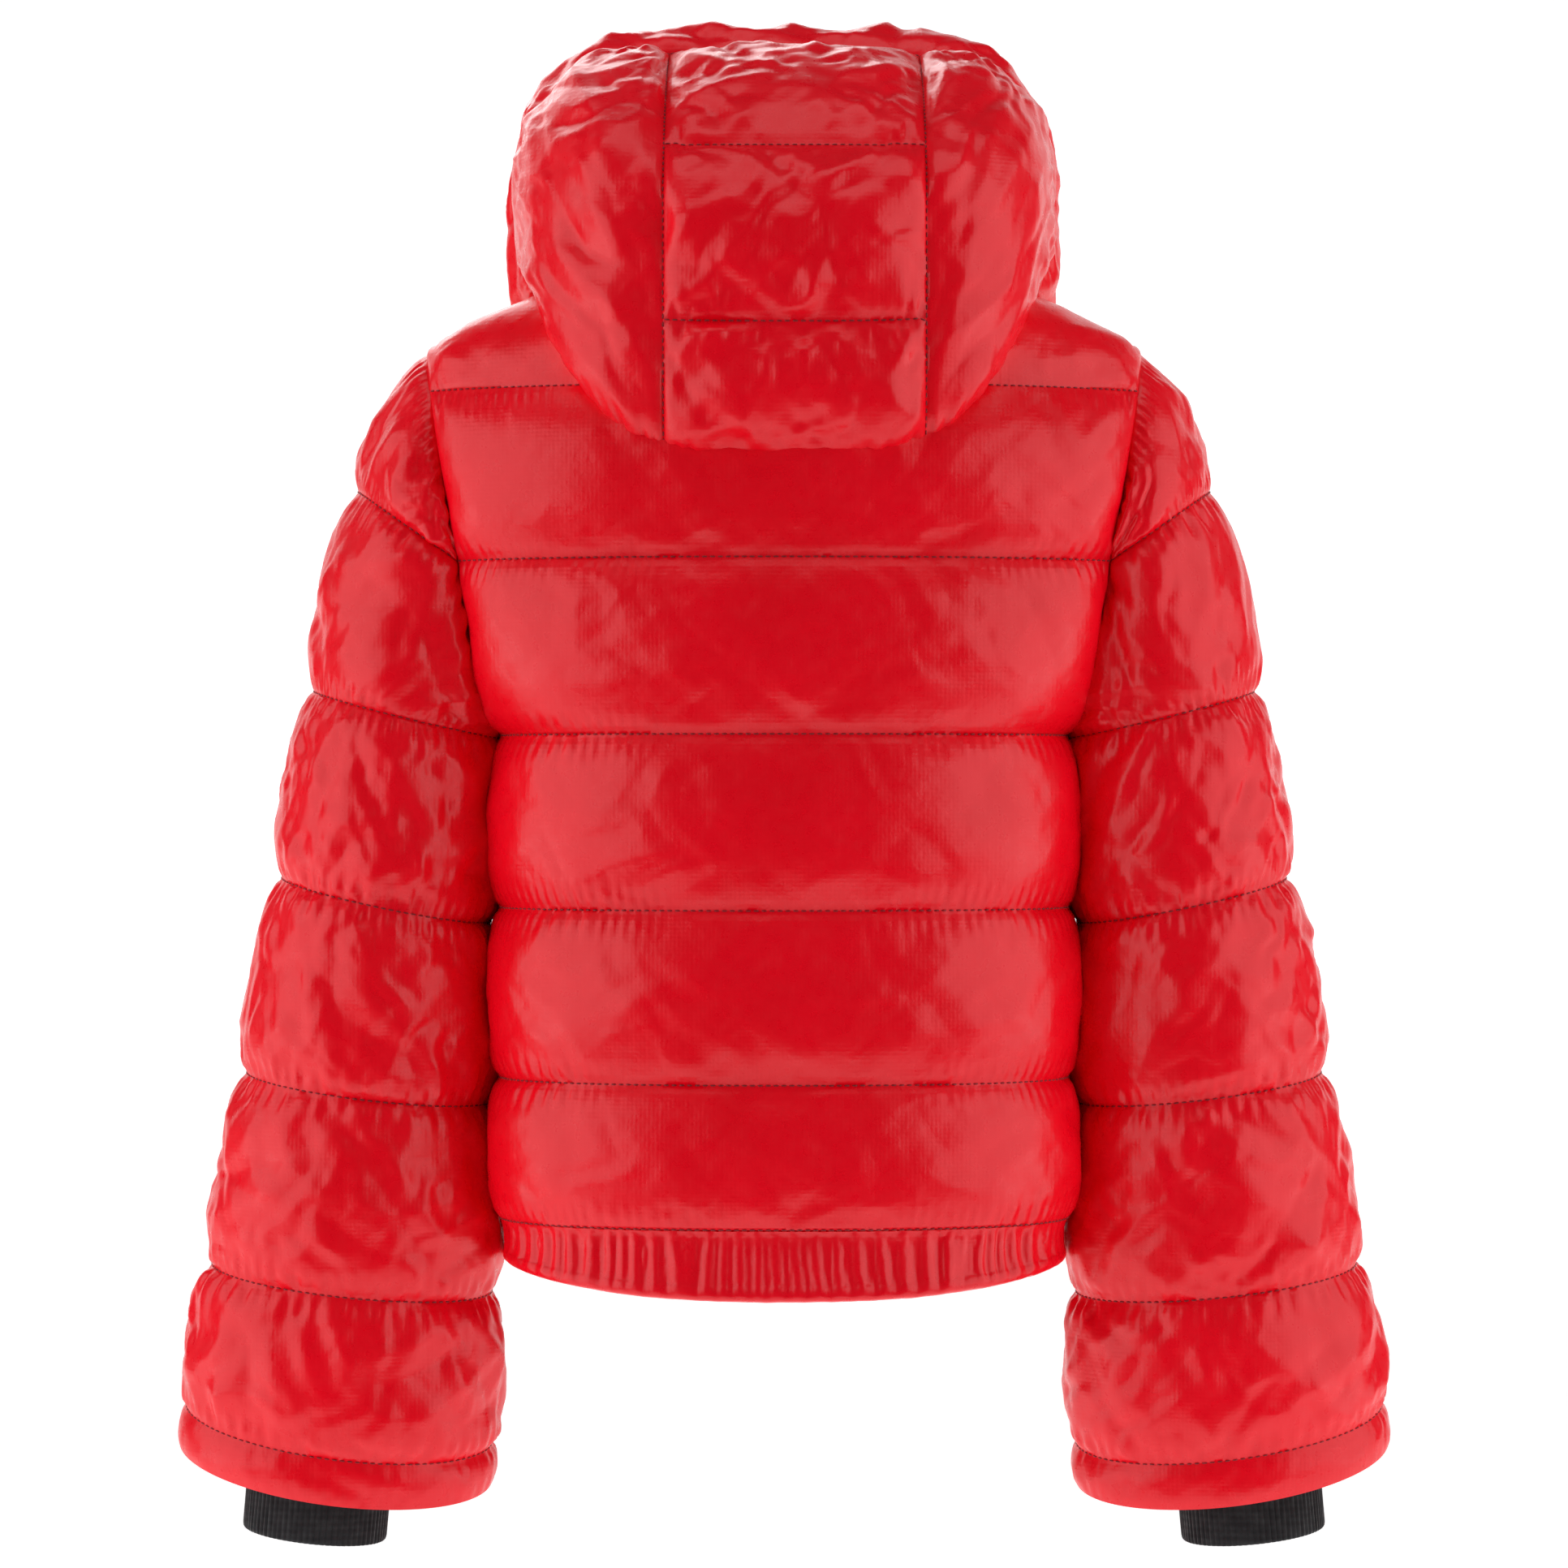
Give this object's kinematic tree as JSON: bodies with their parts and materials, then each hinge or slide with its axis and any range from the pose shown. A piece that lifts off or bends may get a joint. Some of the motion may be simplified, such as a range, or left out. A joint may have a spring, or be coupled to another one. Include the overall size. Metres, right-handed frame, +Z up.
{
  "type": "ski jacket",
  "caption": "Cropped hooded down ski jacket with quilted baffles, flared sleeves over ribbed storm cuffs, a gathered elastic hem and a front zip.",
  "frame": {"origin": "the underside of the hanger loop's top bar, inside the back of the collar, where a hook bears", "axes": "+Z up, +Y towards the back, +X towards the wearer's left; the front zip faces -Y"},
  "size_m": [0.7108, 0.2864, 0.8884],
  "materials": {
    "glossy_shell": "glossy quilted nylon over down",
    "hem_shell": "glossy nylon, gathered and stitched flat",
    "lining_cloth": "smooth woven lining",
    "ribbed_knit": "matt ribbed knit",
    "elastic": "woven elastic band",
    "woven_tape": "woven tape with moulded teeth",
    "zip_metal": "satin plated zinc"
  },
  "bodies": {
    "torso": {"back_yoke": "glossy_shell", "back_baffle_1": "glossy_shell", "back_baffle_2": "glossy_shell", "back_baffle_3": "glossy_shell", "back_baffle_4": "glossy_shell", "back_baffle_5": "glossy_shell", "left_front_yoke": "glossy_shell", "left_front_baffle_1": "glossy_shell", "left_front_baffle_2": "glossy_shell", "left_front_baffle_3": "glossy_shell", "left_front_baffle_4": "glossy_shell", "left_front_baffle_5": "glossy_shell", "right_front_yoke": "glossy_shell", "right_front_baffle_1": "glossy_shell", "right_front_baffle_2": "glossy_shell", "right_front_baffle_3": "glossy_shell", "right_front_baffle_4": "glossy_shell", "right_front_baffle_5": "glossy_shell", "hem_casing": "hem_shell", "hem_elastic": "elastic", "body_lining": "lining_cloth", "stand_collar": "glossy_shell", "hanger_loop": "woven_tape", "left_zip_tape": "woven_tape", "right_zip_tape": "woven_tape", "storm_flap": "lining_cloth", "left_pocket_zip": "woven_tape", "right_pocket_zip": "woven_tape", "left_sleeve_cap": "glossy_shell", "right_sleeve_cap": "glossy_shell"},
    "left_sleeve": {"left_sleeve_baffle_2": "glossy_shell", "left_sleeve_baffle_3": "glossy_shell", "left_sleeve_baffle_4": "glossy_shell", "left_sleeve_baffle_5": "glossy_shell", "left_sleeve_baffle_6": "glossy_shell", "left_sleeve_hem": "hem_shell", "left_sleeve_lining": "lining_cloth"},
    "right_sleeve": {"right_sleeve_baffle_2": "glossy_shell", "right_sleeve_baffle_3": "glossy_shell", "right_sleeve_baffle_4": "glossy_shell", "right_sleeve_baffle_5": "glossy_shell", "right_sleeve_baffle_6": "glossy_shell", "right_sleeve_hem": "hem_shell", "right_sleeve_lining": "lining_cloth"},
    "left_cuff": {"left_knit_cuff": "ribbed_knit"},
    "right_cuff": {"right_knit_cuff": "ribbed_knit"},
    "hood": {"hood_brim": "glossy_shell", "left_hood_side": "glossy_shell", "right_hood_side": "glossy_shell", "hood_crown_panel": "glossy_shell", "hood_back_panel": "glossy_shell", "hood_nape_panel": "glossy_shell", "hood_lining": "lining_cloth"},
    "main_slider": {"zip_slider": "zip_metal"},
    "main_pull": {"zip_pull": "zip_metal"},
    "left_pocket_slider": {"left_pocket_slider": "zip_metal"},
    "left_pocket_pull": {"left_pocket_pull": "zip_metal"},
    "right_pocket_slider": {"right_pocket_slider": "zip_metal"},
    "right_pocket_pull": {"right_pocket_pull": "zip_metal"}
  },
  "joints": [
    {"name": "zip_slide", "type": "slide", "parent": "torso", "child": "main_slider", "axis": [0, -0.064, -0.998], "range_m": [0, 0.57]},
    {"name": "zip_pull_swing", "type": "hinge", "parent": "main_slider", "child": "main_pull", "pos_m": [0, -0.13286, -0.0191], "axis": [-1, 0, 0], "range_deg": [0, 150]},
    {"name": "left_pocket_zip_slide", "type": "slide", "parent": "torso", "child": "left_pocket_slider", "axis": [0.0953, 0.0702, -0.993], "range_m": [0, 0.118]},
    {"name": "left_pocket_pull_swing", "type": "hinge", "parent": "left_pocket_slider", "child": "left_pocket_pull", "pos_m": [0.12211, -0.13592, -0.37892], "axis": [-0.7996, -0.5888, -0.1184], "range_deg": [0, 150]},
    {"name": "right_pocket_zip_slide", "type": "slide", "parent": "torso", "child": "right_pocket_slider", "axis": [-0.0953, 0.0702, -0.993], "range_m": [0, 0.118]},
    {"name": "right_pocket_pull_swing", "type": "hinge", "parent": "right_pocket_slider", "child": "right_pocket_pull", "pos_m": [-0.12211, -0.13592, -0.37892], "axis": [-0.7996, 0.5888, 0.1184], "range_deg": [0, 150]},
    {"name": "left_arm_raise", "type": "hinge", "parent": "torso", "child": "left_sleeve", "pos_m": [0.16, -0.04329, -0.111], "axis": [0, -1, 0], "range_deg": [0, 30]},
    {"name": "right_arm_raise", "type": "hinge", "parent": "torso", "child": "right_sleeve", "pos_m": [-0.16, -0.04329, -0.111], "axis": [0, 1, 0], "range_deg": [0, 30]},
    {"name": "left_cuff_push", "type": "slide", "parent": "left_sleeve", "child": "left_cuff", "axis": [0.0961, -0.1186, -0.9883], "range_m": [-0.03, 0]},
    {"name": "right_cuff_push", "type": "slide", "parent": "right_sleeve", "child": "right_cuff", "axis": [-0.0961, -0.1186, -0.9883], "range_m": [-0.03, 0]},
    {"name": "hood_raise", "type": "hinge", "parent": "torso", "child": "hood", "pos_m": [0, -0.13129, -0.114], "axis": [1, 0, 0], "range_deg": [0, 20]}
  ]
}
